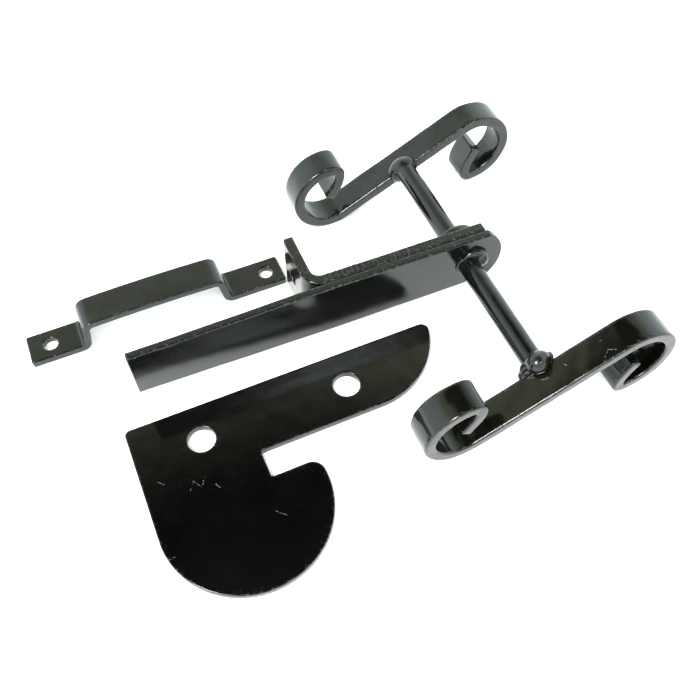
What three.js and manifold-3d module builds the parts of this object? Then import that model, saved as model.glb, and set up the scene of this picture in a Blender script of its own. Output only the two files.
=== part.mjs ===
// Gate lift-latch kit with a scroll handle on each side, laid out on a flat surface.
//
// Units are millimetres, +Z is up and z = 0 is the surface that the kit lies on.
// While the kit is laid out, x = 0 is the spindle's axis, y = 0 is the front face of the latch bar,
// the bar runs to -X and the front handle is on the -Y side. The last lines move the whole kit so
// that the centre of its footprint is the origin.

import * as THREE from 'three';
import { mergeVertices } from 'three/addons/utils/BufferGeometryUtils.js';
import Module from 'manifold-3d';

const wasm = await Module();
wasm.setup();

// ---------------------------------------------------------------- driving dimensions

const GAP = 0.3; // clearance between neighbouring solids, and of the pivot

// spindle and latch bar
const AXIS_Z = 20.3;
const SPINDLE_R = 4.2;
const BAR_WIDTH = 25;
const BAR_THICK = 3.3;
const BAR_REACH = 135.5; // spindle axis to the free end
const BAR_END_R = 15.4; // rounded pivot end
const BAR_CORNER_R = 0.8; // free end's corners

// scroll handles
const STRIP_WIDTH = 12.3;
const STRIP_THICK = 4.5;
const FRONT_HANDLE_Y = -66.1; // front edge of the front handle
const HANDLE_PITCH = 124.2; // front edge of one handle to the front edge of the other
// each curl: straight from the middle, then bends of [centre-line radius, degrees], then a straight tip
const LOW_CURL = { straight: 31.4, bends: [[14.2, 212], [3.3, 87], [13.7, 30]], tip: 5.2 };
const HIGH_CURL = { straight: 30.8, bends: [[15.1, 205], [2.9, 87], [13.7, 30]], tip: 6.5 };

// pivot bracket
const BRACKET_THICK = 4.1;
const BRACKET_WIDTH = 25;
const BRACKET_REACH = 66.2; // spindle axis to the tab's outer face
const BRACKET_END = 8.6; // spindle axis to the arm's square end
const TAB_LENGTH = 26.7; // arm's front face to the tab's end
const TAB_BEND_R = 3.6; // inside of the bend
const TAB_HOLE_R = 2.9;
const TAB_CHAMFER = 1.2;

// collar and weld beads
const COLLAR_R = 9.7;
const COLLAR_THICK = 5;
const COLLAR_ROUND = 1.8;
const BEAD_WIDTH = 2.6;
const HANDLE_WELD_RADII = [5.6, 5.2, 4.6]; // lump between spindle and strip

// guide strap: foot, riser, arched bridge, riser, foot
const GUIDE = {
  corner: [-170.9, 33.7],
  yaw: 0.54,
  width: 13.7,
  thick: 3,
  leftFoot: 19.5,
  rightFoot: 22.9,
  riser: 7.1,
  riserAngle: 80,
  bendR: 3,
  bridge: 49.8,
  archAngle: 2.5, // slope of the bridge at each end
  holeR: 2.9,
  leftHole: 8.6, // from the left end
  rightHole: 6.9, // from the right end
};

// keep plate
const KEEP = {
  corner: [-145.7, -9.8],
  yaw: 0.69,
  thick: 3,
  armWidth: 27.6,
  camR: 31.2,
  camY: -45.7,
  notchX: 43.7,
  notchY: -38.7, // the notch's lower edge
  notchCornerR: 1,
  hookTipR: 5,
  tailStart: 92.5,
  tailR: 33,
  tailTipR: 3,
  cornerR: 2.2,
  holeR: 5.25,
  holes: [[25.4, -14.3], [83.5, -14.3]],
};

const ARM_FRONT_Y = BAR_THICK + GAP;
const ARM_BACK_Y = ARM_FRONT_Y + BRACKET_THICK;
const BACK_HANDLE_Y = FRONT_HANDLE_Y + HANDLE_PITCH;
const ROUND = 32; // facets of a small round

// ---------------------------------------------------------------- helpers

const rad = THREE.MathUtils.degToRad;

function paint(colour, roughness) {
  return new THREE.MeshStandardMaterial({ color: colour, roughness, metalness: 0 });
}

function part(name, geometry, material) {
  const mesh = new THREE.Mesh(geometry, material);
  mesh.name = name;
  return mesh;
}

// A closed three.js geometry as a manifold solid.
function toSolid(geometry) {
  const bare = geometry.clone();
  bare.deleteAttribute('normal');
  bare.deleteAttribute('uv');
  const merged = mergeVertices(bare, 1e-4);
  return new wasm.Manifold(new wasm.Mesh({
    numProp: 3,
    vertProperties: new Float32Array(merged.attributes.position.array),
    triVerts: new Uint32Array(merged.index.array),
  }));
}

function toGeometry(solid) {
  const mesh = solid.getMesh();
  const geometry = new THREE.BufferGeometry();
  geometry.setAttribute('position', new THREE.BufferAttribute(mesh.vertProperties, 3));
  geometry.setIndex(new THREE.BufferAttribute(mesh.triVerts, 1));
  geometry.computeVertexNormals();
  return geometry;
}

function cut(geometry, ...tools) {
  let solid = toSolid(geometry);
  for (const tool of tools) {
    solid = solid.subtract(toSolid(tool));
  }
  return toGeometry(solid);
}

// A shape drawn in X and Z, pushed along +Y from yStart.
function extrudeAlongY(shape, yStart, depth, curveSegments = 12) {
  const geometry = new THREE.ExtrudeGeometry(shape, { depth, bevelEnabled: false, curveSegments });
  geometry.rotateX(Math.PI / 2);
  geometry.translate(0, yStart + depth, 0);
  return geometry;
}

// A shape drawn in X and Y, pushed up from zStart.
function extrudeUp(shape, zStart, depth, curveSegments = 12) {
  const geometry = new THREE.ExtrudeGeometry(shape, { depth, bevelEnabled: false, curveSegments });
  geometry.translate(0, 0, zStart);
  return geometry;
}

function cylinderAlongY(radius, yStart, yEnd) {
  const geometry = new THREE.CylinderGeometry(radius, radius, yEnd - yStart, ROUND);
  geometry.translate(0, (yStart + yEnd) / 2, 0);
  return geometry;
}

// A ring about the Y axis, from a closed outline of [radius, y] points.
function ringAlongY(outline) {
  const points = outline.map(([r, y]) => new THREE.Vector2(r, y));
  points.push(points[0].clone());
  return new THREE.LatheGeometry(points, ROUND);
}

// Follows straights {run} and bends {radius, turn in degrees, left positive} from a start point.
// Returns the stations of the middle line, each with its heading.
function followPath(start, heading, steps) {
  const stations = [{ x: start[0], y: start[1], heading }];
  for (const step of steps) {
    const last = stations[stations.length - 1];
    if (step.run) {
      stations.push({
        x: last.x + step.run * Math.cos(last.heading),
        y: last.y + step.run * Math.sin(last.heading),
        heading: last.heading,
      });
      continue;
    }
    const side = Math.sign(step.turn) * Math.PI / 2;
    const centreX = last.x + step.radius * Math.cos(last.heading + side);
    const centreY = last.y + step.radius * Math.sin(last.heading + side);
    const count = Math.max(2, Math.ceil(Math.abs(step.turn) / (step.radius > 8 ? 7 : 15)));
    for (let i = 1; i <= count; i += 1) {
      const now = last.heading + rad(step.turn) * i / count;
      stations.push({
        x: centreX + step.radius * Math.cos(now - side),
        y: centreY + step.radius * Math.sin(now - side),
        heading: now,
      });
    }
  }
  return stations;
}

// The outline of a strip of even thickness along a middle line.
function stripShape(stations, thick) {
  const offset = (s, d) => new THREE.Vector2(s.x - d * Math.sin(s.heading), s.y + d * Math.cos(s.heading));
  const right = stations.map((s) => offset(s, -thick / 2));
  const left = stations.map((s) => offset(s, thick / 2)).reverse();
  return new THREE.Shape([...right, ...left]);
}

// ---------------------------------------------------------------- latch

function latchBar() {
  const half = BAR_WIDTH / 2;
  const endAngle = Math.asin(half / BAR_END_R);
  const c = BAR_CORNER_R;
  const shape = new THREE.Shape();
  shape.moveTo(-BAR_REACH + c, -half);
  shape.lineTo(BAR_END_R * Math.cos(endAngle), -half);
  shape.absarc(0, 0, BAR_END_R, -endAngle, endAngle, false);
  shape.lineTo(-BAR_REACH + c, half);
  shape.absarc(-BAR_REACH + c, half - c, c, Math.PI / 2, Math.PI, false);
  shape.absarc(-BAR_REACH + c, -half + c, c, Math.PI, Math.PI * 1.5, false);
  const hole = new THREE.Path();
  hole.absarc(0, 0, SPINDLE_R + GAP, 0, Math.PI * 2, true);
  shape.holes.push(hole);
  return extrudeAlongY(shape, 0, BAR_THICK, 16);
}

function spindle() {
  return cylinderAlongY(SPINDLE_R, FRONT_HANDLE_Y + STRIP_WIDTH + GAP, BACK_HANDLE_Y - GAP);
}

// The tilt at which both curls of a scroll touch the surface, from the circles of their main bends.
function restingTilt() {
  const radii = LOW_CURL.bends[0][0] + HIGH_CURL.bends[0][0];
  const straights = LOW_CURL.straight + HIGH_CURL.straight;
  const difference = HIGH_CURL.bends[0][0] - LOW_CURL.bends[0][0];
  return Math.atan2(radii, straights) + Math.asin(difference / Math.hypot(radii, straights));
}

const SCROLL_TILT = restingTilt();
const SCROLL_Z = LOW_CURL.straight * Math.sin(SCROLL_TILT)
  + LOW_CURL.bends[0][0] * (1 - Math.cos(SCROLL_TILT)) + STRIP_THICK / 2;
// the scroll's middle, seen from the spindle axis
const SCROLL_DROP = SCROLL_Z - AXIS_Z;

function curlStations(curl, heading) {
  const steps = [{ run: curl.straight }];
  for (const [radius, turn] of curl.bends) {
    steps.push({ radius, turn: -turn });
  }
  steps.push({ run: curl.tip });
  return followPath([0, SCROLL_DROP], heading, steps);
}

// One bent strip: a straight middle, the low curl turning up and the high curl turning down.
function scrollHandle() {
  const high = curlStations(HIGH_CURL, SCROLL_TILT);
  const low = curlStations(LOW_CURL, SCROLL_TILT + Math.PI).slice(1).reverse();
  const turned = low.map((s) => ({ ...s, heading: s.heading + Math.PI }));
  return extrudeAlongY(stripShape([...turned, ...high], STRIP_THICK), 0, STRIP_WIDTH);
}

// A weld lump where the spindle's end meets the edge of a scroll strip. side is the way from the
// strip's edge to the spindle.
function handleWeld(edgeY, side) {
  const lump = new THREE.SphereGeometry(1, 24, 16);
  lump.scale(...HANDLE_WELD_RADII);
  lump.translate(0, edgeY, SCROLL_DROP + STRIP_THICK / 2 + 1.2);
  const strip = new THREE.BoxGeometry(40, STRIP_WIDTH + 2 * GAP, STRIP_THICK + 2 * GAP);
  strip.rotateY(-SCROLL_TILT);
  strip.translate(0, edgeY - side * STRIP_WIDTH / 2, SCROLL_DROP);
  const shaftFrom = side > 0 ? edgeY : edgeY - 40;
  const shaft = cylinderAlongY(SPINDLE_R + GAP, shaftFrom, shaftFrom + 40);
  const under = new THREE.BoxGeometry(40, 40, 20);
  under.rotateY(-SCROLL_TILT);
  under.translate(10 * Math.sin(SCROLL_TILT), edgeY, SCROLL_DROP - 10 * Math.cos(SCROLL_TILT));
  return cut(lump, strip, shaft, under);
}

// A fillet of weld around the spindle against a flat face. side is the way it stands from the face.
function weldBead(faceY, side, width) {
  const inner = SPINDLE_R + GAP;
  const base = faceY + side * GAP;
  const outline = [[inner, base], [inner + width, base]];
  for (let i = 1; i < 5; i += 1) {
    const angle = Math.PI / 2 * i / 5;
    const bulge = 0.78;
    outline.push([inner + width * bulge * Math.cos(angle), base + side * width * bulge * Math.sin(angle)]);
  }
  outline.push([inner, base + side * width]);
  return ringAlongY(side > 0 ? outline : outline.reverse());
}

function retainingCollar() {
  const inner = SPINDLE_R + GAP;
  const front = ARM_BACK_Y + GAP;
  const back = front + COLLAR_THICK;
  const outline = [[inner, front], [COLLAR_R, front]];
  for (let i = 0; i <= 5; i += 1) {
    const angle = Math.PI / 2 * i / 5;
    outline.push([
      COLLAR_R - COLLAR_ROUND * (1 - Math.cos(angle)),
      back - COLLAR_ROUND * (1 - Math.sin(angle)),
    ]);
  }
  outline.push([inner, back]);
  return ringAlongY(outline);
}

// ---------------------------------------------------------------- bracket

function pivotBracket() {
  const outer = -BRACKET_REACH;
  const inner = outer + BRACKET_THICK;
  const bendX = inner + TAB_BEND_R;
  const bendY = ARM_BACK_Y + TAB_BEND_R;
  const tabEnd = ARM_FRONT_Y + TAB_LENGTH;
  const shape = new THREE.Shape();
  shape.moveTo(BRACKET_END, ARM_FRONT_Y);
  shape.lineTo(BRACKET_END, ARM_BACK_Y);
  shape.lineTo(bendX, ARM_BACK_Y);
  shape.absarc(bendX, bendY, TAB_BEND_R, Math.PI * 1.5, Math.PI, true);
  shape.lineTo(inner, tabEnd);
  shape.lineTo(outer + TAB_CHAMFER, tabEnd);
  shape.lineTo(outer, tabEnd - TAB_CHAMFER);
  shape.lineTo(outer, bendY);
  shape.absarc(bendX, bendY, TAB_BEND_R + BRACKET_THICK, Math.PI, Math.PI * 1.5, false);
  const plate = extrudeUp(shape, -BRACKET_WIDTH / 2, BRACKET_WIDTH, 10);
  const pivotHole = cylinderAlongY(SPINDLE_R + GAP, ARM_FRONT_Y - 1, ARM_BACK_Y + 1);
  const screwHole = new THREE.CylinderGeometry(TAB_HOLE_R, TAB_HOLE_R, BRACKET_THICK + 2, ROUND);
  screwHole.rotateZ(Math.PI / 2);
  screwHole.translate(outer + BRACKET_THICK / 2, (bendY + tabEnd) / 2, 0);
  return cut(plate, pivotHole, screwHole);
}

// ---------------------------------------------------------------- loose pieces

const GUIDE_LENGTH = guideStations().at(-1).x;

function guideStations() {
  const g = GUIDE;
  const bend = g.riserAngle;
  const crown = g.riserAngle - g.archAngle;
  const archR = g.bridge / 2 / Math.sin(rad(g.archAngle));
  return followPath([0, g.thick / 2], 0, [
    { run: g.leftFoot },
    { radius: g.bendR, turn: bend },
    { run: g.riser },
    { radius: g.bendR, turn: -crown },
    { radius: archR, turn: -2 * g.archAngle },
    { radius: g.bendR, turn: -crown },
    { run: g.riser },
    { radius: g.bendR, turn: bend },
    { run: g.rightFoot },
  ]);
}

function guideStrap() {
  const g = GUIDE;
  const strap = extrudeAlongY(stripShape(guideStations(), g.thick), 0, g.width);
  const holes = [g.leftHole, GUIDE_LENGTH - g.rightHole].map((x) => {
    const drill = new THREE.CylinderGeometry(g.holeR, g.holeR, g.thick + 2, ROUND);
    drill.rotateX(Math.PI / 2);
    drill.translate(x, g.width / 2, g.thick / 2);
    return drill;
  });
  return cut(strap, ...holes);
}

// A J-shaped plate: an arm with two bolt holes, a round cam below its left end, and a notch between.
function keepPlate() {
  const k = KEEP;
  const notchTop = -k.armWidth;
  const tailY = -k.armWidth + k.tailR;
  const hookY = k.notchY - k.hookTipR;
  const hookCentreX = k.camR + Math.sqrt((k.camR - k.hookTipR) ** 2 - (hookY - k.camY) ** 2);
  const hookAngle = Math.atan2(hookY - k.camY, hookCentreX - k.camR);
  const tailTipX = k.tailStart + Math.sqrt((k.tailR - k.tailTipR) ** 2 - (tailY + k.tailTipR) ** 2);
  const tailAngle = Math.atan2(-k.tailTipR - tailY, tailTipX - k.tailStart);
  const n = k.notchCornerR;
  const shape = new THREE.Shape();
  shape.moveTo(k.cornerR, 0);
  shape.absarc(k.cornerR, -k.cornerR, k.cornerR, Math.PI / 2, Math.PI, false);
  shape.lineTo(0, k.camY);
  shape.absarc(k.camR, k.camY, k.camR, Math.PI, Math.PI * 2 + hookAngle, false);
  shape.absarc(hookCentreX, hookY, k.hookTipR, hookAngle, Math.PI / 2, false);
  shape.lineTo(k.notchX + n, k.notchY);
  shape.absarc(k.notchX + n, k.notchY + n, n, Math.PI * 1.5, Math.PI, true);
  shape.lineTo(k.notchX, notchTop - n);
  shape.absarc(k.notchX + n, notchTop - n, n, Math.PI, Math.PI / 2, true);
  shape.lineTo(k.tailStart, notchTop);
  shape.absarc(k.tailStart, tailY, k.tailR, -Math.PI / 2, tailAngle, false);
  shape.absarc(tailTipX, -k.tailTipR, k.tailTipR, tailAngle, Math.PI / 2, false);
  shape.closePath();
  for (const [x, y] of k.holes) {
    const hole = new THREE.Path();
    hole.absarc(x, y, k.holeR, 0, Math.PI * 2, true);
    shape.holes.push(hole);
  }
  return extrudeUp(shape, 0, k.thick, 18);
}

// ---------------------------------------------------------------- the kit

const blackEnamel = paint(0x1b1c1a, 0.25);
const brownBlackEnamel = paint(0x211d18, 0.3);
const weldEnamel = paint(0x24241f, 0.35);

const latch = new THREE.Group();
latch.position.set(0, 0, AXIS_Z);
latch.add(part('latch_bar', latchBar(), blackEnamel));
latch.add(part('spindle', spindle(), blackEnamel));
const frontHandle = part('front_scroll_handle', scrollHandle(), brownBlackEnamel);
frontHandle.position.y = FRONT_HANDLE_Y;
const backHandle = part('back_scroll_handle', scrollHandle(), blackEnamel);
backHandle.position.y = BACK_HANDLE_Y;
latch.add(frontHandle, backHandle);
latch.add(part('retaining_collar', retainingCollar(), blackEnamel));
latch.add(part('weld_bar', weldBead(0, -1, BEAD_WIDTH), weldEnamel));
latch.add(part('weld_collar', weldBead(ARM_BACK_Y + GAP + COLLAR_THICK, 1, BEAD_WIDTH), weldEnamel));
latch.add(part('weld_front_handle', handleWeld(FRONT_HANDLE_Y + STRIP_WIDTH, 1), weldEnamel));
latch.add(part('weld_back_handle', handleWeld(BACK_HANDLE_Y, -1), weldEnamel));
latch.add(part('pivot_bracket', pivotBracket(), blackEnamel));

function loose(mesh, { corner, yaw }) {
  mesh.position.set(corner[0], corner[1], 0);
  mesh.rotation.z = rad(yaw);
  return mesh;
}

const kit = new THREE.Group();
kit.add(latch);
kit.add(loose(part('guide_strap', guideStrap(), blackEnamel), GUIDE));
kit.add(loose(part('keep_plate', keepPlate(), blackEnamel), KEEP));

// put the middle of the footprint at the origin, with the lowest point at z = 0
kit.updateMatrixWorld(true);
const footprint = new THREE.Box3().setFromObject(kit, true);
const middle = footprint.getCenter(new THREE.Vector3());
kit.position.set(-middle.x, -middle.y, -footprint.min.z);

export default kit;
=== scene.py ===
"""Looks of a gate lift-latch kit in gloss black enamel.

A flat latch bar is welded to a round spindle with a scroll handle at each end. The spindle turns in
an angle bracket. A staple-shaped guide strap and a J-shaped keep plate lie loose beside it.

Lengths are millimetres until add_piece writes them in metres.
"""

import bpy
import numpy as np
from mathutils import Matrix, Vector
from mathutils.geometry import delaunay_2d_cdt


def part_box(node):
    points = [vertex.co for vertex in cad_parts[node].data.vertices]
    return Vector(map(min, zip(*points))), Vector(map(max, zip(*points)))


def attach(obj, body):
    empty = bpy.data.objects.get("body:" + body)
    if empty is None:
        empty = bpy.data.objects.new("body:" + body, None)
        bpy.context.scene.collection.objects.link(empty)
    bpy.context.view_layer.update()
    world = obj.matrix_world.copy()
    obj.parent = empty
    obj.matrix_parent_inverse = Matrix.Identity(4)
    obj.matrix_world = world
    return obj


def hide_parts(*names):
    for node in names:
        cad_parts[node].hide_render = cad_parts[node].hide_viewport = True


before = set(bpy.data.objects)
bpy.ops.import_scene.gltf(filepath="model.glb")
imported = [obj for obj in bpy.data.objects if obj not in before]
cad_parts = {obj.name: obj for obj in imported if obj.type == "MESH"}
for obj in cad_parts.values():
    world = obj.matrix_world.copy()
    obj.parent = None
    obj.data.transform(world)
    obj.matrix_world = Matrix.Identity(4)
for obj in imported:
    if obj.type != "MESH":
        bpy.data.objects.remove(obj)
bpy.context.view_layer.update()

MM = 0.001

# ------------------------------------------------------------------ sizes that the boxes don't give

BAR_END_R = 15.4  # the bar's rounded pivot end
BAR_CORNER_R = 0.8
TWIST = 4.8  # degrees, at the bar's free end
TWIST_FROM = 8
TWIST_LENGTH = 82
SCROLL_ROCK = 0.75  # degrees that both scrolls are rocked up on their low curls
STRIP_THICK = 4.5  # scroll strip
# each curl: straight from the middle, then bends of (middle-line radius, degrees), then a straight tip
LOW_CURL = {"straight": 31.4, "bends": ((14.2, 212), (3.3, 87), (13.7, 30)), "tip": 5.2}
HIGH_CURL = {"straight": 30.8, "bends": ((15.1, 205), (2.9, 87), (13.7, 30)), "tip": 6.5}
BRACKET_THICK = 4.1
TAB_BEND_R = 3.6  # inside of the bracket's bend
TAB_CHAMFER = 1.2
SCREW_HOLE_R = 2.9
PIVOT_HOLE_R = 4.5
COLLAR_ROUND = 1.8
GUIDE_THICK = 3.0
GUIDE_WIDTH = 13.7
GUIDE_YAW = 0.54  # degrees
GUIDE_LEFT_FOOT = 19.5
GUIDE_RIGHT_FOOT = 22.9
GUIDE_RISER = 7.1
GUIDE_RISER_ANGLE = 80
GUIDE_BEND_R = 3.0
GUIDE_BRIDGE = 49.8
GUIDE_ARCH = 2.5  # slope of the bridge at each end, degrees
GUIDE_HOLES = (8.6, 6.9)  # from the left end and from the right end
KEEP_YAW = 0.69  # degrees
KEEP = {
    "arm_width": 27.6,
    "cam_r": 31.2,
    "cam_y": -45.7,
    "notch_x": 43.7,
    "notch_y": -38.7,
    "notch_corner_r": 1.0,
    "hook_tip_r": 5.0,
    "tail_start": 92.5,
    "tail_r": 33.0,
    "tail_tip_r": 3.0,
    "corner_r": 2.2,
    "hole_r": 5.25,
    "holes": ((25.4, -14.3), (83.5, -14.3)),
}


def box_mm(node):
    low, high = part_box(node)
    return np.array(low) / MM, np.array(high) / MM


SPINDLE_LOW, SPINDLE_HIGH = box_mm("spindle")
AXIS_X = (SPINDLE_LOW[0] + SPINDLE_HIGH[0]) / 2
AXIS_Z = (SPINDLE_LOW[2] + SPINDLE_HIGH[2]) / 2
SPINDLE_R = (SPINDLE_HIGH[0] - SPINDLE_LOW[0]) / 2


# ------------------------------------------------------------------ surfaces


def ripple(points, wavelength, seed, waves=9):
    """Smooth unevenness of about -1 to 1: a sum of sine waves, each with a seeded direction, phase
    and a wavelength near the given one."""
    rng = np.random.default_rng(seed)
    ways = rng.normal(size=(waves, points.shape[-1]))
    ways /= np.linalg.norm(ways, axis=1, keepdims=True)
    lengths = wavelength * rng.uniform(0.7, 1.5, waves)
    phases = rng.uniform(0, 2 * np.pi, waves)
    return np.sin(2 * np.pi * (points @ ways.T) / lengths + phases).sum(-1) / np.sqrt(waves)


def grid_faces(rows, cols, close_rows=False):
    """Quads between neighbouring points of a grid whose columns close on themselves."""
    row, col = np.meshgrid(np.arange(rows if close_rows else rows - 1), np.arange(cols), indexing="ij")
    below = (row + 1) % rows
    beside = (col + 1) % cols
    corners = [row * cols + col, row * cols + beside, below * cols + beside, below * cols + col]
    return np.stack(corners, -1).reshape(-1, 4)


def line(start, end, step):
    """Even points from start towards end, without the end."""
    start, end = np.array(start, float), np.array(end, float)
    count = max(1, round(np.linalg.norm(end - start) / step))
    return start + (end - start) * (np.arange(count) / count)[:, None]


def arc(centre, radius, start, end, step):
    """Even points round a circle from one angle in degrees to another, without the end."""
    start, end = np.radians(start), np.radians(end)
    count = max(4, round(abs(end - start) * radius / step))
    turn = start + (end - start) * np.arange(count) / count
    return np.array(centre) + radius * np.stack([np.cos(turn), np.sin(turn)], 1)


def left_normals(loop):
    """Unit vectors to the left of a closed outline, halfway between its two sides at each point."""
    ahead = np.roll(loop, -1, 0) - loop
    ahead /= np.linalg.norm(ahead, axis=1, keepdims=True)
    along = ahead + np.roll(ahead, 1, 0)
    along /= np.linalg.norm(along, axis=1, keepdims=True)
    return np.stack([-along[:, 1], along[:, 0]], 1)


def inside(points, loop):
    """True where a ray from the point towards +u crosses the closed outline an odd number of times."""
    near, far = loop, np.roll(loop, -1, 0)
    rise = far[:, 1] - near[:, 1]
    rise = np.where(rise == 0, 1, rise)
    height = points[:, 1:2]
    crosses = (near[:, 1] > height) != (far[:, 1] > height)
    meets = near[:, 0] + (height - near[:, 1]) * (far[:, 0] - near[:, 0]) / rise
    return (crosses & (points[:, 0:1] < meets)).sum(1) % 2 == 1


def edge_profile(thick, edge, wall_rows):
    """Inset, height and wear down a plate's edge: a narrow ledge, a quarter circle, the wall, a
    quarter circle and a ledge."""
    ledge = 0.3
    turn = np.linspace(np.pi / 2, 0, 5)
    inset = edge * (1 - np.cos(turn))
    height = thick / 2 - edge * (1 - np.sin(turn))
    wall = np.linspace(height[-1], -height[-1], wall_rows + 2)[1:-1]
    insets = [[edge + ledge], inset, np.zeros(wall_rows), inset[::-1], [edge + ledge]]
    heights = [[thick / 2], height, wall, -height[::-1], [-thick / 2]]
    wear = [[0.15], np.ones(5), np.full(wall_rows, 0.4), np.ones(5), [0.15]]
    return np.concatenate(insets), np.concatenate(heights), np.concatenate(wear)


def plate(loops, thick, edge, step, wall_rows=3):
    """A flat plate as one closed surface. Every outline, solid on its left, carries the rounded edge
    profile, and both faces are a Delaunay mesh of the innermost profile points and an even grid.
    Returns points (u, v across the face, w through it), faces and wear."""
    inset, height, wear = edge_profile(thick, edge, wall_rows)
    rows = len(inset)
    points, wears, quads, top, bottom, rims = [], [], [], [], [], []
    start = 0
    for loop in loops:
        count = len(loop)
        flat = loop + inset[:, None, None] * left_normals(loop)
        up = np.broadcast_to(height[:, None, None], (rows, count, 1))
        points.append(np.concatenate([flat, up], -1).reshape(-1, 3))
        wears.append(np.repeat(wear, count))
        quads.append(start + grid_faces(rows, count)[:, ::-1])
        top.append(start + np.arange(count))
        bottom.append(start + (rows - 1) * count + np.arange(count))
        rims.append(flat[0])
        start += rows * count
    low, high = rims[0].min(0), rims[0].max(0)
    across = [np.arange(a + s / 2, b, s) for a, b, s in zip(low, high, step)]
    grid = np.stack(np.meshgrid(*across), -1).reshape(-1, 2)
    rim = np.concatenate(rims)
    clear = np.ones(len(grid), bool)
    for part in np.array_split(np.arange(len(grid)), 20):
        gaps = np.abs(grid[part, None] - rim) / np.array(step)
        clear[part] = gaps.max(-1).min(1) > 0.45
    clear &= inside(grid, rims[0])
    for hole in rims[1:]:
        clear &= ~inside(grid, hole)
    fill = grid[clear]
    for side in (1, -1):
        level = np.full((len(fill), 1), side * thick / 2)
        points.append(np.concatenate([fill, level], 1))
        wears.append(np.zeros(len(fill)))
    top.append(start + np.arange(len(fill)))
    bottom.append(start + len(fill) + np.arange(len(fill)))
    triangles = face_triangles(rims, fill)
    upper = np.concatenate(top)[triangles]
    lower = np.concatenate(bottom)[triangles][:, ::-1]
    faces = np.concatenate(quads).tolist() + upper.tolist() + lower.tolist()
    return np.concatenate(points), faces, np.concatenate(wears)


def face_triangles(rims, fill):
    """Delaunay triangles of the rims and the fill points, without those outside the plate or in a hole."""
    flat = np.concatenate([*rims, fill])
    sides = []
    start = 0
    for rim in rims:
        here = start + np.arange(len(rim))
        sides.append(np.stack([here, np.roll(here, -1)], 1))
        start += len(rim)
    made = delaunay_2d_cdt([Vector(p) for p in flat], np.concatenate(sides).tolist(), [], 0, 1e-7)
    source = np.array([origin[0] for origin in made[3]])
    triangles = source[np.array(made[2])]
    middle = flat[triangles].mean(1)
    kept = inside(middle, rims[0])
    for hole in rims[1:]:
        kept &= ~inside(middle, hole)
    return triangles[kept]


def middle_line(start, heading, steps, fine=0.05):
    """A line of straights (length, 0) and bends (radius, degrees). The heading is the running sum of
    the curvature and the line is the running sum of the heading. Returns distance, across, up, heading."""
    pieces, turns = [], []
    for size, turn in steps:
        length = size if turn == 0 else size * abs(np.radians(turn))
        count = int(np.ceil(length / fine))
        pieces.append(np.full(count, length / count))
        turns.append(np.full(count, np.radians(turn) / count))
    pieces, turns = np.concatenate(pieces), np.concatenate(turns)
    headings = heading + np.concatenate([[0], np.cumsum(turns)])
    halfway = (headings[1:] + headings[:-1]) / 2
    distance = np.concatenate([[0], np.cumsum(pieces)])
    across = start[0] + np.concatenate([[0], np.cumsum(pieces * np.cos(halfway))])
    up = start[1] + np.concatenate([[0], np.cumsum(pieces * np.sin(halfway))])
    return distance, across, up, headings


def bend(points, way):
    """Carries a flat plate along a middle line: u is the distance along it and w stands off to its
    left. Returns across, v, up."""
    distance, across, up, headings = way
    u, v, w = points.T
    heading = np.interp(u, distance, headings)
    beyond = u - np.clip(u, distance[0], distance[-1])
    x = np.interp(u, distance, across) + beyond * np.cos(heading) - w * np.sin(heading)
    z = np.interp(u, distance, up) + beyond * np.sin(heading) + w * np.cos(heading)
    return np.stack([x, v, z], 1)


def rounded_rectangle(width, height, radius, step):
    """Anticlockwise outline of a rectangle about the origin with round corners."""
    x, y = width / 2 - radius, height / 2 - radius
    corners = ((x, y), (-x, y), (-x, -y), (x, -y))
    outward = ((0, 1), (-1, 0), (0, -1), (1, 0))
    points = []
    for number, corner in enumerate(corners):
        round_ = arc(corner, radius, 90 * number, 90 * number + 90, 0.25)
        points.append(round_)
        out = radius * np.array(outward[number])
        end = np.array(corner) + out
        ahead = np.array(corners[(number + 1) % 4]) + out
        points.append(line(end, ahead, step))
    return np.concatenate(points)


def strip(way, width, thick, edge, step=0.8):
    """A flat strip along a middle line: a rounded rectangle carried along it and drawn in at both ends
    by a quarter circle, with a flat face at each end. Returns points, faces and wear."""
    section = rounded_rectangle(thick, width, edge, 0.7)
    length = way[0][-1]
    ends = edge * (1 - np.cos(np.linspace(0, np.pi / 2, 5)))
    inner = np.linspace(edge, length - edge, round(length / step))
    stations = np.concatenate([[0], ends, inner[1:-1], length - ends[::-1], [length]])
    depth = np.minimum(stations, length - stations)
    inset = edge - np.sqrt(np.maximum(edge**2 - np.maximum(edge - depth, 0) ** 2, 0))
    inset[[0, -1]] += 0.25
    shrink = 1 - inset[:, None] / (np.array([thick, width]) / 2)
    flat = section[None] * shrink[:, None]
    along = np.broadcast_to(stations[:, None], flat.shape[:2])
    points = bend(np.stack([along, flat[..., 1], flat[..., 0]], -1).reshape(-1, 3), way)
    faces = grid_faces(len(stations), len(section)).tolist()
    last = (len(stations) - 1) * len(section)
    faces.append(list(range(len(section)))[::-1])
    faces.append(list(range(last, last + len(section))))
    corner = np.array([thick, width]) / 2 - edge
    round_ = (np.abs(section) > corner - 0.02).all(1)
    wear = np.where(round_[None], 1.0, 0.0) + np.where(depth < edge, 0.7, 0.0)[:, None]
    return points, faces, np.minimum(wear, 1).reshape(-1)


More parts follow.
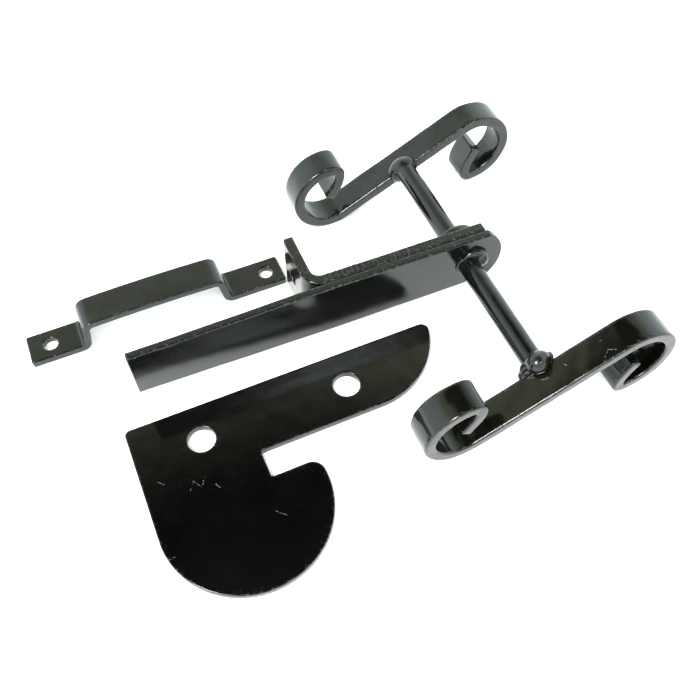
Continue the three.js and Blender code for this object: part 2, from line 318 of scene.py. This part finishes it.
def revolve(profile, cols, closed):
    """Turns a profile of (radius, y) about the spindle's axis. An open profile gets a flat face at
    each end. Returns points and faces."""
    turn = np.linspace(0, 2 * np.pi, cols, endpoint=False)
    radius, y = np.array(profile, float).T
    x = AXIS_X + radius[:, None] * np.cos(turn)
    z = AXIS_Z + radius[:, None] * np.sin(turn)
    y = np.broadcast_to(y[:, None], x.shape)
    faces = grid_faces(len(profile), cols, close_rows=closed).tolist()
    if not closed:
        last = (len(profile) - 1) * cols
        faces.append(list(range(cols))[::-1])
        faces.append(list(range(last, last + cols)))
    return np.stack([x, y, z], -1).reshape(-1, 3), faces


def melted_balls(centre, balls, seed, rough=0.05, rows=64, cols=96):
    """The skin of balls (x, y, z, radius) melted into one lump. In every direction from the centre it
    is the last place where the sum of exp(3 - 3 (distance / radius)^2) over the balls is still 1."""
    tilt = np.linspace(0, np.pi, rows)[1:-1]
    turn = np.linspace(0, 2 * np.pi, cols, endpoint=False)
    tilt, turn = np.meshgrid(tilt, turn, indexing="ij")
    ways = np.stack([np.sin(tilt) * np.cos(turn), np.sin(tilt) * np.sin(turn), np.cos(tilt)], -1)
    ways = np.concatenate([[[0, 0, 1]], ways.reshape(-1, 3), [[0, 0, -1]]])
    reach = np.linspace(0.3, 14, 240)
    total = np.zeros((len(ways), len(reach)))
    for x, y, z, radius in balls:
        offset = np.array(centre, float) - (x, y, z)
        square = (offset**2).sum() + 2 * reach * (ways @ offset)[:, None] + reach**2
        total += np.exp(3 - 3 * square / radius**2)
    last = total.shape[1] - 1 - np.argmax(total[:, ::-1] > 1, axis=1)
    last = np.minimum(last, len(reach) - 2)
    each = np.arange(len(ways))
    before, after = total[each, last], total[each, last + 1]
    surface = reach[last] + (before - 1) / (before - after) * (reach[1] - reach[0])
    surface += rough * ripple(ways * surface[:, None], 3.0, seed)
    middle = 1 + grid_faces(rows - 2, cols)
    first_row = 1 + np.arange(cols)
    last_row = 1 + (rows - 3) * cols + np.arange(cols)
    pole = np.full(cols, len(ways) - 1)
    crown = np.stack([np.zeros(cols, int), np.roll(first_row, -1), first_row], 1)
    foot = np.stack([pole, last_row, np.roll(last_row, -1)], 1)
    faces = middle.tolist() + crown.tolist() + foot.tolist()
    return np.array(centre) + ways * surface[:, None], faces


# ------------------------------------------------------------------ making pieces


def add_piece(name, points, faces, wear, material, body, node):
    """Puts a surface into the scene in metres, faces outward, with its edge wear as an attribute."""
    mesh = bpy.data.meshes.new(name)
    mesh.from_pydata((points * MM).tolist(), [], faces)
    mesh.calc_loop_triangles()
    corners = np.empty(len(mesh.loop_triangles) * 3, np.int32)
    mesh.loop_triangles.foreach_get("vertices", corners)
    a, b, c = points[corners.reshape(-1, 3)].transpose(1, 0, 2)
    if np.einsum("ij,ij->i", a, np.cross(b, c)).sum() < 0:
        mesh.flip_normals()
    mesh.shade_smooth()
    worn = mesh.attributes.new("edge_wear", "FLOAT", "POINT")
    worn.data.foreach_set("value", np.broadcast_to(wear, len(points)).astype(np.float32))
    mesh.materials.append(material)
    mesh.validate()
    piece = bpy.data.objects.new(name, mesh)
    bpy.context.scene.collection.objects.link(piece)
    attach(piece, body)
    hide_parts(node)
    return piece


def hole_loop(centre, radius, step):
    """A round hole's outline, clockwise so that the plate is on its left."""
    return arc(centre, radius, 360, 0, step)


def turned(points, degrees, corner):
    """Turns points about Z and moves them so that their own origin is at the corner."""
    cos, sin = np.cos(np.radians(degrees)), np.sin(np.radians(degrees))
    x, y, z = points.T
    return np.stack([corner[0] + x * cos - y * sin, corner[1] + x * sin + y * cos, z], 1)


# ------------------------------------------------------------------ node helpers


def node(tree, kind, inputs, **settings):
    made = tree.nodes.new(kind)
    for name, value in settings.items():
        setattr(made, name, value)
    for key, value in inputs.items():
        if isinstance(value, bpy.types.NodeSocket):
            tree.links.new(value, made.inputs[key])
        else:
            made.inputs[key].default_value = value
    return made


def maths(tree, operation, *values):
    return node(tree, "ShaderNodeMath", dict(enumerate(values)), operation=operation).outputs[0]


def noise(tree, where, scale, detail=3.0, roughness=0.5):
    inputs = {"Vector": where, "Scale": scale, "Detail": detail, "Roughness": roughness}
    return node(tree, "ShaderNodeTexNoise", inputs).outputs["Fac"]


def ramped(tree, value, low, high, to_low=0.0, to_high=1.0):
    """The value between low and high, spread over the range to_low to to_high."""
    inputs = {"Value": value, "From Min": low, "From Max": high, "To Min": to_low, "To Max": to_high}
    return node(tree, "ShaderNodeMapRange", inputs).outputs["Result"]


def mixed(tree, factor, first, second):
    """Mix of two colours. A Mix node repeats its socket names, so each is found by name and type."""
    inputs = {"Factor": factor, "A": first, "B": second}
    made = tree.nodes.new("ShaderNodeMix")
    made.data_type = "RGBA"
    for key, value in inputs.items():
        kind = "VALUE" if key == "Factor" else "RGBA"
        socket = next(s for s in made.inputs if s.name == key and s.type == kind)
        if isinstance(value, bpy.types.NodeSocket):
            tree.links.new(value, socket)
        else:
            socket.default_value = value
    return next(s for s in made.outputs if s.type == "RGBA")


def stroke(tree, where, start, end, width):
    """1 within width of the straight line from start to end, in metres, fading out unevenly."""
    start, end = Vector(start), Vector(end)
    along = end - start
    ahead = node(tree, "ShaderNodeVectorMath", {0: where, 1: start}, operation="SUBTRACT").outputs[0]
    scaled = along / along.length_squared
    part = node(tree, "ShaderNodeVectorMath", {0: ahead, 1: scaled}, operation="DOT_PRODUCT")
    held = node(tree, "ShaderNodeClamp", {"Value": part.outputs["Value"]}).outputs[0]
    foot = node(tree, "ShaderNodeVectorMath", {0: along, "Scale": held}, operation="SCALE").outputs[0]
    apart = node(tree, "ShaderNodeVectorMath", {0: ahead, 1: foot}, operation="DISTANCE").outputs["Value"]
    return ramped(tree, apart, width, width * 0.4)


# ------------------------------------------------------------------ finishes


def enamel(name, deep, light, gloss, strokes=(), peel=1.0, grit=1.0):
    """Sprayed black enamel: cloudy colour, smudges in the gloss, orange peel, grit under the paint,
    thin paint on the edges, dust specks and scratches."""
    material = bpy.data.materials.new(name)
    material.use_nodes = True
    tree = material.node_tree
    shader = tree.nodes["Principled BSDF"]
    where = tree.nodes.new("ShaderNodeTexCoord").outputs["Object"]

    clouds = noise(tree, where, 38.0, 4.0, 0.6)
    colour = mixed(tree, ramped(tree, clouds, 0.35, 0.68), deep, light)

    edge = node(tree, "ShaderNodeAttribute", {}, attribute_name="edge_wear").outputs["Fac"]
    patch = ramped(tree, noise(tree, where, 800.0, 4.0, 0.7), 0.53, 0.66)
    worn = maths(tree, "MULTIPLY", edge, patch)
    colour = mixed(tree, worn, colour, (0.05, 0.05, 0.045, 1))

    cells = node(tree, "ShaderNodeTexVoronoi", {"Vector": where, "Scale": 150.0})
    pick = node(tree, "ShaderNodeSeparateColor", {"Color": cells.outputs["Color"]}).outputs[0]
    spot = ramped(tree, cells.outputs["Distance"], 0.045, 0.02)
    dust = maths(tree, "MULTIPLY", spot, maths(tree, "GREATER_THAN", pick, 0.955))
    colour = mixed(tree, dust, colour, (0.3, 0.3, 0.28, 1))

    shine = ramped(tree, noise(tree, where, 95.0, 5.0, 0.6), 0.3, 0.72, gloss[0], gloss[1])
    rubbed = maths(tree, "MULTIPLY_ADD", worn, 0.1, shine)

    if strokes:
        wander = node(tree, "ShaderNodeTexNoise", {"Vector": where, "Scale": 350.0, "Detail": 2.0})
        offset = {0: wander.outputs["Color"], 1: (0.5, 0.5, 0.5)}
        centred = node(tree, "ShaderNodeVectorMath", offset, operation="SUBTRACT")
        reach = {0: centred.outputs[0], "Scale": 0.0012}
        shift = node(tree, "ShaderNodeVectorMath", reach, operation="SCALE")
        bent = node(tree, "ShaderNodeVectorMath", {0: where, 1: shift.outputs[0]}, operation="ADD").outputs[0]
        marks = 0.0
        for start, end, width in strokes:
            marks = maths(tree, "MAXIMUM", marks, stroke(tree, bent, start, end, width))
        broken = ramped(tree, noise(tree, where, 900.0, 3.0, 0.7), 0.4, 0.56)
        marks = maths(tree, "MULTIPLY", marks, broken)
        colour = mixed(tree, marks, colour, (0.085, 0.088, 0.085, 1))
        rubbed = maths(tree, "MULTIPLY_ADD", marks, 0.4, rubbed)

    tree.links.new(colour, shader.inputs["Base Color"])
    tree.links.new(rubbed, shader.inputs["Roughness"])

    grains = noise(tree, where, 1500.0, 3.0, 0.6)
    pimples = ramped(tree, grains, 0.6, 0.8)
    orange = noise(tree, where, 330.0, 2.0, 0.45)
    inputs = {"Height": orange, "Distance": 0.00002, "Strength": 0.5 * peel}
    first = node(tree, "ShaderNodeBump", inputs).outputs["Normal"]
    inputs = {"Height": pimples, "Distance": 0.00003, "Strength": 0.35 * grit, "Normal": first}
    second = node(tree, "ShaderNodeBump", inputs).outputs["Normal"]
    tree.links.new(second, shader.inputs["Normal"])
    shader.inputs["IOR"].default_value = 1.5
    shader.inputs["Specular Tint"].default_value = (0.92, 1, 0.98, 1)
    return material


def floor_finish():
    """Matt white card, lit from below as well as above."""
    material = bpy.data.materials.new("white_card")
    material.use_nodes = True
    tree = material.node_tree
    shader = tree.nodes["Principled BSDF"]
    where = tree.nodes.new("ShaderNodeTexCoord").outputs["Object"]
    grain = ramped(tree, noise(tree, where, 60.0, 3.0), 0.3, 0.7)
    colour = mixed(tree, grain, (0.88, 0.88, 0.88, 1), (0.9, 0.9, 0.9, 1))
    tree.links.new(colour, shader.inputs["Base Color"])
    shader.inputs["Roughness"].default_value = 0.7
    shader.inputs["Specular IOR Level"].default_value = 0.1
    shader.inputs["Emission Color"].default_value = (1, 1, 1, 1)
    shader.inputs["Emission Strength"].default_value = 0.3
    return material


# ------------------------------------------------------------------ latch


def latch_bar(finish):
    """Outline in X and Z, pushed through Y: a bar with a square end and an end round the spindle."""
    low, high = box_mm("latch_bar")
    half = (high[2] - low[2]) / 2
    left = low[0] - AXIS_X
    angle = np.degrees(np.arcsin(half / BAR_END_R))
    shoulder = BAR_END_R * np.cos(np.radians(angle))
    c = BAR_CORNER_R
    outline = np.concatenate([
        line((left + c, -half), (shoulder, -half), 0.9),
        arc((0, 0), BAR_END_R, -angle, angle, 0.5),
        line((shoulder, half), (left + c, half), 0.9),
        arc((left + c, half - c), c, 90, 180, 0.2),
        line((left, half - c), (left, -half + c), 0.7),
        arc((left + c, -half + c), c, 180, 270, 0.2),
    ])
    loops = [outline, hole_loop((0, 0), PIVOT_HOLE_R, 0.4)]
    points, faces, wear = plate(loops, high[1] - low[1], 0.45, (2.2, 1.8))
    u, v, w = points.T
    w = w + 0.05 * ripple(points[:, :2], 38, 11) + 0.012 * ripple(points[:, :2], 7, 12)
    # the free end is twisted a little, top edge forwards
    twist = np.clip((-AXIS_X + TWIST_FROM - u) / TWIST_LENGTH, 0, 1)
    w = w - v * np.tan(np.radians(TWIST) * twist * twist * (3 - 2 * twist))
    v = v + 0.04 * ripple(points[:, :1], 30, 13)
    placed = np.stack([AXIS_X + u, (low[1] + high[1]) / 2 + w, AXIS_Z + v], 1)
    add_piece("lift_bar", placed, faces, wear, finish, "latch", "latch_bar")


def spindle_rod(finish):
    """A round rod with rolled ends, its radius uneven by a few hundredths."""
    low, high = SPINDLE_LOW[1], SPINDLE_HIGH[1]
    end_r = 0.6
    ends = np.linspace(0, np.pi / 2, 5)
    lead = [(SPINDLE_R - end_r * (1 - np.sin(t)), low + end_r * (1 - np.cos(t))) for t in ends]
    body = [(SPINDLE_R, y) for y in np.linspace(low + end_r, high - end_r, 130)[1:-1]]
    tail = [(r, high + low - y) for r, y in lead[::-1]]
    points, faces = revolve(lead + body + tail, 96, closed=False)
    out = points - (AXIS_X, 0, AXIS_Z)
    out[:, 1] = 0
    uneven = 0.03 * ripple(points, 16, 21) + 0.012 * ripple(points, 4, 22)
    points = points + out / SPINDLE_R * uneven[:, None]
    add_piece("round_spindle", points, faces, 0.1, finish, "latch", "spindle")


def curl_steps(curl):
    return [(curl["straight"], 0), *[(r, -turn) for r, turn in curl["bends"]], (curl["tip"], 0)]


def scroll_way():
    """Middle line of a scroll: the low curl's tip, round to the middle, and out to the high curl's tip.
    The straight middle is tilted so that both curls rest on z = 0."""
    radii = LOW_CURL["bends"][0][0] + HIGH_CURL["bends"][0][0]
    straights = LOW_CURL["straight"] + HIGH_CURL["straight"]
    taller = HIGH_CURL["bends"][0][0] - LOW_CURL["bends"][0][0]
    tilt = np.arctan2(radii, straights) + np.arcsin(taller / np.hypot(radii, straights))
    low_r = LOW_CURL["bends"][0][0]
    height = LOW_CURL["straight"] * np.sin(tilt) + low_r * (1 - np.cos(tilt)) + STRIP_THICK / 2
    low = curl_steps(LOW_CURL)
    high = curl_steps(HIGH_CURL)
    # out along the low half to find its tip, then back along it, so the line runs one way
    tip = middle_line((AXIS_X, height), tilt + np.pi, low)
    there = (tip[1][-1], tip[2][-1])
    return middle_line(there, tip[3][-1] + np.pi, [(s, -t) for s, t in low[::-1]] + high)


def on_scroll(scratches):
    """Scratches on the upper face of the front scroll's straight middle, in metres."""
    way = scroll_way()
    steep = np.abs(np.cos(way[3])) < 0.5
    middle = np.argmin(np.abs(way[1] - AXIS_X) + 100 * steep)
    slope = np.tan(way[3][middle])
    top = way[2][middle] + STRIP_THICK / 2 / abs(np.cos(way[3][middle]))
    lift = np.tan(np.radians(SCROLL_ROCK))

    def height(x):
        return top + (x - AXIS_X) * slope + (x - AXIS_X + LOW_CURL["straight"]) * lift

    return [((x * MM, y * MM, height(x) * MM), (to_x * MM, to_y * MM, height(to_x) * MM), width * MM)
            for x, y, to_x, to_y, width in scratches]


def scroll(name, node_name, finish, seed):
    """Flat strip on edge, bent into an S, with the slight dents of cold bending."""
    low, high = box_mm(node_name)
    points, faces, wear = strip(scroll_way(), high[1] - low[1], STRIP_THICK, 0.75)
    points[:, 1] += (low[1] + high[1]) / 2
    rock = np.radians(SCROLL_ROCK)
    foot = AXIS_X - LOW_CURL["straight"]
    points[:, 2] += (points[:, 0] - foot) * np.tan(rock)
    points = points + 0.05 * np.stack([ripple(points, 13, seed + n) for n in range(3)], 1)
    points = points + 0.02 * np.stack([ripple(points, 5, seed + 3 + n) for n in range(3)], 1)
    points[:, 2] = np.maximum(points[:, 2], 0.0)
    add_piece(name, points, faces, wear, finish, "latch", node_name)


def collar_ring(finish):
    """A thick ring with a round back edge."""
    low, high = box_mm("retaining_collar")
    radius = (high[0] - low[0]) / 2
    turn = np.linspace(0, np.pi / 2, 8)
    inner = SPINDLE_R + 0.3
    profile = [(inner, low[1]), (radius - 0.4, low[1]), (radius - 0.1, low[1] + 0.1), (radius, low[1] + 0.4)]
    profile += [
        (radius - COLLAR_ROUND * (1 - np.cos(t)), high[1] - COLLAR_ROUND * (1 - np.sin(t))) for t in turn
    ]
    profile.append((inner, high[1]))
    points, faces = revolve(profile, 128, closed=True)
    points = points + 0.03 * np.stack([ripple(points, 8, 31 + n) for n in range(3)], 1)
    add_piece("stop_collar", points, faces, 0.3, finish, "latch", "retaining_collar")


def ring_weld(name, node_name, side, finish, seed, width, heavy_at):
    """A run of weld round the spindle: a torus half sunk in the face and in the rod, thin all round
    and heavy on the side given in degrees. side is the way it stands from the face."""
    low, high = box_mm(node_name)
    face = high[1] if side < 0 else low[1]
    rows, cols = 36, 200
    turn = np.linspace(0, 2 * np.pi, cols, endpoint=False)
    round_ = np.linspace(0, 2 * np.pi, rows, endpoint=False)
    circle = np.stack([np.cos(turn), np.sin(turn)], 1)
    heavy = np.exp(-((1 - np.cos(turn - np.radians(heavy_at))) / 0.5) ** 2)
    size = width * (0.22 + 0.8 * heavy) * (1 + 0.1 * ripple(circle, 1.0, seed))
    radius = SPINDLE_R + 0.3 * size + size * 0.6 * np.cos(round_)[:, None]
    y = face + side * size * (0.05 + 0.5 * np.sin(round_)[:, None])
    x = AXIS_X + radius * np.cos(turn)
    z = AXIS_Z + radius * np.sin(turn)
    points = np.stack([x, y, z], -1).reshape(-1, 3)
    points = points + 0.13 * np.stack([ripple(points, 3.2, seed + 1 + n) for n in range(3)], 1)
    faces = grid_faces(rows, cols, close_rows=True).tolist()
    add_piece(name, points, faces, 0.2, finish, "latch", node_name)


def scroll_weld(name, node_name, edge_y, side, balls, finish, seed):
    """A lump of weld where the spindle's end meets the strip. Balls are (x, y, z, radius) from the
    point where the rod's top line meets the strip's edge, y positive towards the spindle."""
    top = AXIS_Z + SPINDLE_R
    placed = [(AXIS_X + x, edge_y + side * y, top + z, r) for x, y, z, r in balls]
    points, faces = melted_balls(placed[0][:3], placed, seed)
    add_piece(name, points, faces, 0.15, finish, "latch", node_name)


# ------------------------------------------------------------------ bracket


def bracket_angle(finish):
    """Flat bar drilled, then bent once: u runs from the arm's square end to the tab's end."""
    low, high = box_mm("pivot_bracket")
    half = (high[2] - low[2]) / 2
    thick = BRACKET_THICK
    middle_r = TAB_BEND_R + thick / 2
    arm = high[0] - low[0] - thick - TAB_BEND_R
    curve = middle_r * np.pi / 2
    tab = high[1] - low[1] - thick - TAB_BEND_R
    length = arm + curve + tab
    c, e = 0.9, 0.9
    outline = np.concatenate([
        line((e, -half), (length - c, -half), 0.45),
        arc((length - c, -half + c), c, -90, 0, 0.2),
        line((length, -half + c), (length, half - c), 0.45),
        arc((length - c, half - c), c, 0, 90, 0.2),
        line((length - c, half), (e, half), 0.45),
        arc((e, half - e), e, 90, 180, 0.2),
        line((0, half - e), (0, -half + e), 0.45),
        arc((e, -half + e), e, 180, 270, 0.2),
    ])
    pivot = (high[0] - AXIS_X, 0)
    screw = (arm + curve + tab / 2, 0)
    loops = [outline, hole_loop(pivot, PIVOT_HOLE_R, 0.4), hole_loop(screw, SCREW_HOLE_R, 0.3)]
    points, faces, wear = plate(loops, thick, 0.5, (0.6, 1.8), wall_rows=7)
    u, v, w = points.T
    # the saw-cut top of the arm is rough under the paint, most of all near the bend
    rough = np.clip((v - half + 0.6) / 0.4, 0, 1) * np.clip(1 - (u - arm) / 4, 0, 1)
    rough = rough * (0.5 + 0.5 * np.clip((u - arm + 26) / 20, 0, 1))
    v = v + rough * (0.07 * ripple(points[:, :1], 1.5, 41) + 0.05 * ripple(points, 1.2, 42))
    # the outer corner of the tab's end is taken off
    w = np.minimum(w, thick / 2 - np.maximum(u - length + TAB_CHAMFER, 0))
    w = w + 0.03 * ripple(points[:, :2], 26, 43) + 0.012 * ripple(points[:, :2], 6, 44)
    way = middle_line((high[0], low[1] + thick / 2), np.pi, [(arm, 0), (middle_r, -90), (tab, 0)])
    bent = bend(np.stack([u, v, w], 1), way)
    placed = np.stack([bent[:, 0], bent[:, 2], AXIS_Z + bent[:, 1]], 1)
    add_piece("pivot_angle", placed, faces, wear, finish, "bracket", "pivot_bracket")


# ------------------------------------------------------------------ loose pieces


def guide_staple(finish):
    """Flat strip drilled, then bent into foot, riser, arched bridge, riser and foot."""
    low = box_mm("guide_strap")[0]
    crown = GUIDE_RISER_ANGLE - GUIDE_ARCH
    arch_r = GUIDE_BRIDGE / 2 / np.sin(np.radians(GUIDE_ARCH))
    steps = [
        (GUIDE_LEFT_FOOT, 0),
        (GUIDE_BEND_R, GUIDE_RISER_ANGLE),
        (GUIDE_RISER, 0),
        (GUIDE_BEND_R, -crown),
        (arch_r, -2 * GUIDE_ARCH),
        (GUIDE_BEND_R, -crown),
        (GUIDE_RISER, 0),
        (GUIDE_BEND_R, GUIDE_RISER_ANGLE),
        (GUIDE_RIGHT_FOOT, 0),
    ]
    way = middle_line((0, GUIDE_THICK / 2), 0, steps)
    length = way[0][-1]
    half = GUIDE_WIDTH / 2
    c = 0.9
    outline = np.concatenate([
        line((c, -half), (length - c, -half), 0.45),
        arc((length - c, -half + c), c, -90, 0, 0.2),
        line((length, -half + c), (length, half - c), 0.5),
        arc((length - c, half - c), c, 0, 90, 0.2),
        line((length - c, half), (c, half), 0.45),
        arc((c, half - c), c, 90, 180, 0.2),
        line((0, half - c), (0, -half + c), 0.5),
        arc((c, -half + c), c, 180, 270, 0.2),
    ])
    holes = [(GUIDE_HOLES[0], 0), (length - GUIDE_HOLES[1], 0)]
    loops = [outline, *[hole_loop(hole, SCREW_HOLE_R, 0.3) for hole in holes]]
    points, faces, wear = plate(loops, GUIDE_THICK, 0.5, (0.5, 1.6))
    points[:, 2] += 0.035 * ripple(points[:, :2], 17, 51) + 0.012 * ripple(points[:, :2], 6, 52)
    bent = bend(points, way)
    bent[:, 1] += half
    bent[:, 2] = np.maximum(bent[:, 2], 0)
    yaw = np.radians(GUIDE_YAW)
    corner = (low[0] + GUIDE_WIDTH * np.sin(yaw), low[1])
    placed = turned(bent, GUIDE_YAW, corner)
    add_piece("guide_staple", placed, faces, wear, finish, "guide", "guide_strap")


def keep_outline(step):
    """J-shaped outline from its top left corner, u to the right and v up."""
    k = KEEP
    top = -k["arm_width"]
    cam_r, cam_y, tip_r = k["cam_r"], k["cam_y"], k["hook_tip_r"]
    tail_y = top + k["tail_r"]
    hook_y = k["notch_y"] - tip_r
    hook_x = cam_r + np.sqrt((cam_r - tip_r) ** 2 - (hook_y - cam_y) ** 2)
    hook = np.degrees(np.arctan2(hook_y - cam_y, hook_x - cam_r))
    end_r = k["tail_tip_r"]
    end_x = k["tail_start"] + np.sqrt((k["tail_r"] - end_r) ** 2 - (tail_y + end_r) ** 2)
    tail = np.degrees(np.arctan2(-end_r - tail_y, end_x - k["tail_start"]))
    n, c = k["notch_corner_r"], k["corner_r"]
    notch = k["notch_x"]
    return np.concatenate([
        line((end_x, 0), (c, 0), step),
        arc((c, -c), c, 90, 180, 0.4),
        line((0, -c), (0, cam_y), step),
        arc((cam_r, cam_y), cam_r, 180, 360 + hook, step),
        arc((hook_x, hook_y), tip_r, hook, 90, 0.5),
        line((hook_x, k["notch_y"]), (notch + n, k["notch_y"]), step),
        arc((notch + n, k["notch_y"] + n), n, 270, 180, 0.25),
        line((notch, k["notch_y"] + n), (notch, top - n), step),
        arc((notch + n, top - n), n, 180, 90, 0.25),
        line((notch + n, top), (k["tail_start"], top), step),
        arc((k["tail_start"], tail_y), k["tail_r"], -90, tail, step),
        arc((end_x, -end_r), end_r, tail, 90, 0.4),
    ])


def keep_plate(finish):
    """Pressed plate, lying flat: the outline with its two bolt holes."""
    low, high = box_mm("keep_plate")
    thick = high[2] - low[2]
    holes = [hole_loop(hole, KEEP["hole_r"], 0.4) for hole in KEEP["holes"]]
    points, faces, wear = plate([keep_outline(0.8), *holes], thick, 0.4, (2.0, 2.0))
    middle = points[:, :2]
    points[:, 2] += thick / 2 + 0.03 * ripple(middle, 45, 61) + 0.008 * ripple(middle, 9, 62)
    points[:, 2] = np.maximum(points[:, 2], 0)
    placed = turned(points, KEEP_YAW, keep_corner(low))
    add_piece("keep_j_plate", placed, faces, wear, finish, "keep", "keep_plate")


def on_keep(scratches):
    """Scratches on the plate's upper face, in metres."""
    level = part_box("keep_plate")[1][2]
    return [((x * MM, y * MM, level), (to_x * MM, to_y * MM, level), width * MM)
            for x, y, to_x, to_y, width in scratches]


def keep_corner(low):
    """Where the plate's own top left corner lies: its round corner touches the box on the left and
    the cam's circle touches it at the bottom."""
    yaw = np.radians(KEEP_YAW)
    round_x = KEEP["corner_r"] * (np.cos(yaw) + np.sin(yaw))
    cam_y = KEEP["cam_r"] * np.sin(yaw) + KEEP["cam_y"] * np.cos(yaw)
    return low[0] + KEEP["corner_r"] - round_x, low[1] + KEEP["cam_r"] - cam_y


# ------------------------------------------------------------------ stage


def floor():
    size = 4.0
    mesh = bpy.data.meshes.new("floor")
    level = -0.00006
    corners = [(-size, -size, level), (size, -size, level), (size, size, level), (-size, size, level)]
    mesh.from_pydata(corners, [], [(0, 1, 2, 3)])
    mesh.materials.append(floor_finish())
    made = bpy.data.objects.new("floor", mesh)
    bpy.context.scene.collection.objects.link(made)


def studio_sky():
    """A white tent that is bright at the horizon and open, so dark, overhead. The brightness follows
    the sine of the height above the horizon."""
    world = bpy.data.worlds.new("tent")
    bpy.context.scene.world = world
    world.use_nodes = True
    tree = world.node_tree
    where = tree.nodes.new("ShaderNodeTexCoord").outputs["Generated"]
    height = node(tree, "ShaderNodeSeparateXYZ", {"Vector": where}).outputs["Z"]
    ramp = node(tree, "ShaderNodeValToRGB", {"Fac": height})
    stops = (
        (0.0, (2.05, 2.35, 2.35)),
        (0.55, (1.85, 2.1, 2.1)),
        (0.68, (1.6, 1.7, 1.62)),
        (0.76, (0.95, 1.0, 0.74)),
        (0.838, (1.0, 1.03, 0.7)),
        (0.858, (0.3, 0.32, 0.27)),
        (0.882, (0.12, 0.12, 0.1)),
        (0.91, (0.0, 0.0, 0.0)),
        (1.0, (0.2, 0.2, 0.2)),
    )
    ramp.color_ramp.interpolation = "B_SPLINE"
    most = 2.5
    for place, colour in stops[1:-1]:
        ramp.color_ramp.elements.new(place)
    for element, (place, colour) in zip(ramp.color_ramp.elements, stops):
        element.position = place
        element.color = (*[part / most for part in colour], 1)
    background = tree.nodes["Background"]
    tree.links.new(ramp.outputs["Color"], background.inputs["Color"])
    background.inputs["Strength"].default_value = most


def softbox(name, way, distance, width, height, glow):
    """Its power is pi times its area times its glow, the brightness that a mirror shows of it."""
    data = bpy.data.lights.new(name, "AREA")
    data.shape = "RECTANGLE"
    data.size = width
    data.size_y = height
    data.energy = np.pi * width * height * glow
    lamp = bpy.data.objects.new(name, data)
    way = Vector(way).normalized()
    lamp.location = way * distance
    lamp.rotation_euler = way.to_track_quat("Z", "Y").to_euler()
    bpy.context.scene.collection.objects.link(lamp)


def camera():
    place = Vector((-0.06475, -0.16374, 0.26432))
    target = Vector((0.00593, 0.00075, 0.0))
    data = bpy.data.cameras.new("view")
    data.sensor_width = 36
    data.lens = 41.21
    data.clip_start = 0.01
    data.clip_end = 50
    made = bpy.data.objects.new("view", data)
    made.location = place
    made.rotation_euler = (target - place).to_track_quat("-Z", "Y").to_euler()
    bpy.context.scene.collection.objects.link(made)
    bpy.context.scene.camera = made


FRONT_WELD_BALLS = (
    (-0.6, 0.0, -0.8, 3.8),
    (0.2, 1.2, -1.6, 3.8),
    (2.0, 1.2, 0.0, 2.3),
    (4.6, 1.0, -0.8, 1.8),
    (-3.2, 1.2, -4.8, 2.9),
    (-5.0, 0.4, -7.2, 1.9),
)
BACK_WELD_BALLS = (
    (0.0, -1.0, -4.7, 5.0),
    (-2.8, -1.0, -6.2, 4.0),
    (2.6, -1.2, -4.0, 3.6),
    (0.2, 1.9, -4.2, 3.9),
)

# x and y of both ends of each scratch, and its width: an even zigzag and a few short ticks
KEEP_SCRATCHES = (
    (-70, -34, -68, -31, 0.2),
    (-68, -31, -66, -34, 0.2),
    (-66, -34, -64, -31, 0.2),
    (-61, -35, -60, -37, 0.3),
    (-80, -26, -78, -28, 0.2),
    (-45, -53, -42, -56, 0.2),
    (-84, -55, -82, -55, 0.2),
)
SCROLL_SCRATCHES = (
    (79, -56, 81, -54, 0.25),
    (81, -54, 83, -56, 0.25),
    (80, -50, 81, -50, 0.3),
    (67, -50, 68, -51, 0.25),
)

bpy.context.scene.view_settings.view_transform = "Standard"
camera()
floor()
studio_sky()
# each lamp: the way to it, its distance in metres, its width and height, and its glow
softbox("left_lamp", (-0.475, -0.10, 0.867), 1.5, 0.3, 0.3, 58)
softbox("left_sheet", (-0.5, -0.28, 0.82), 1.5, 0.6, 0.6, 16)
softbox("front_strip", (0.125, -0.5, 0.857), 4.0, 1.41, 0.42, 17)

# each enamel: its deepest and lightest colour, then its least and most roughness
black = enamel("gloss_black_enamel", (0.001, 0.0011, 0.0011, 1), (0.003, 0.003, 0.0027, 1), (0.07, 0.15))
bar_black = enamel(
    "bar_black_enamel",
    (0.0005, 0.0006, 0.0006, 1),
    (0.0014, 0.0016, 0.0015, 1),
    (0.12, 0.17),
    peel=0.45,
    grit=0.3,
)
keep_black = enamel(
    "keep_black_enamel",
    (0.0002, 0.0002, 0.0002, 1),
    (0.0012, 0.0011, 0.0009, 1),
    (0.06, 0.13),
    on_keep(KEEP_SCRATCHES),
)
brown_black = enamel(
    "brown_black_enamel",
    (0.0012, 0.001, 0.0008, 1),
    (0.0045, 0.0034, 0.002, 1),
    (0.07, 0.14),
    on_scroll(SCROLL_SCRATCHES),
)
weld_black = enamel(
    "painted_weld",
    (0.003, 0.003, 0.0028, 1),
    (0.008, 0.0075, 0.006, 1),
    (0.08, 0.22),
    peel=1.6,
    grit=2.0,
)

latch_bar(bar_black)
spindle_rod(black)
scroll("front_scroll", "front_scroll_handle", brown_black, 71)
scroll("back_scroll", "back_scroll_handle", black, 81)
collar_ring(black)
ring_weld("bar_weld", "weld_bar", -1, weld_black, seed=91, width=5.0, heavy_at=24)
ring_weld("collar_weld", "weld_collar", 1, weld_black, seed=96, width=3.0, heavy_at=200)
front_edge = box_mm("front_scroll_handle")[1][1]
back_edge = box_mm("back_scroll_handle")[0][1]
scroll_weld("front_scroll_weld", "weld_front_handle", front_edge, 1, FRONT_WELD_BALLS, weld_black, 101)
scroll_weld("back_scroll_weld", "weld_back_handle", back_edge, -1, BACK_WELD_BALLS, weld_black, 105)
bracket_angle(black)
guide_staple(black)
keep_plate(keep_black)
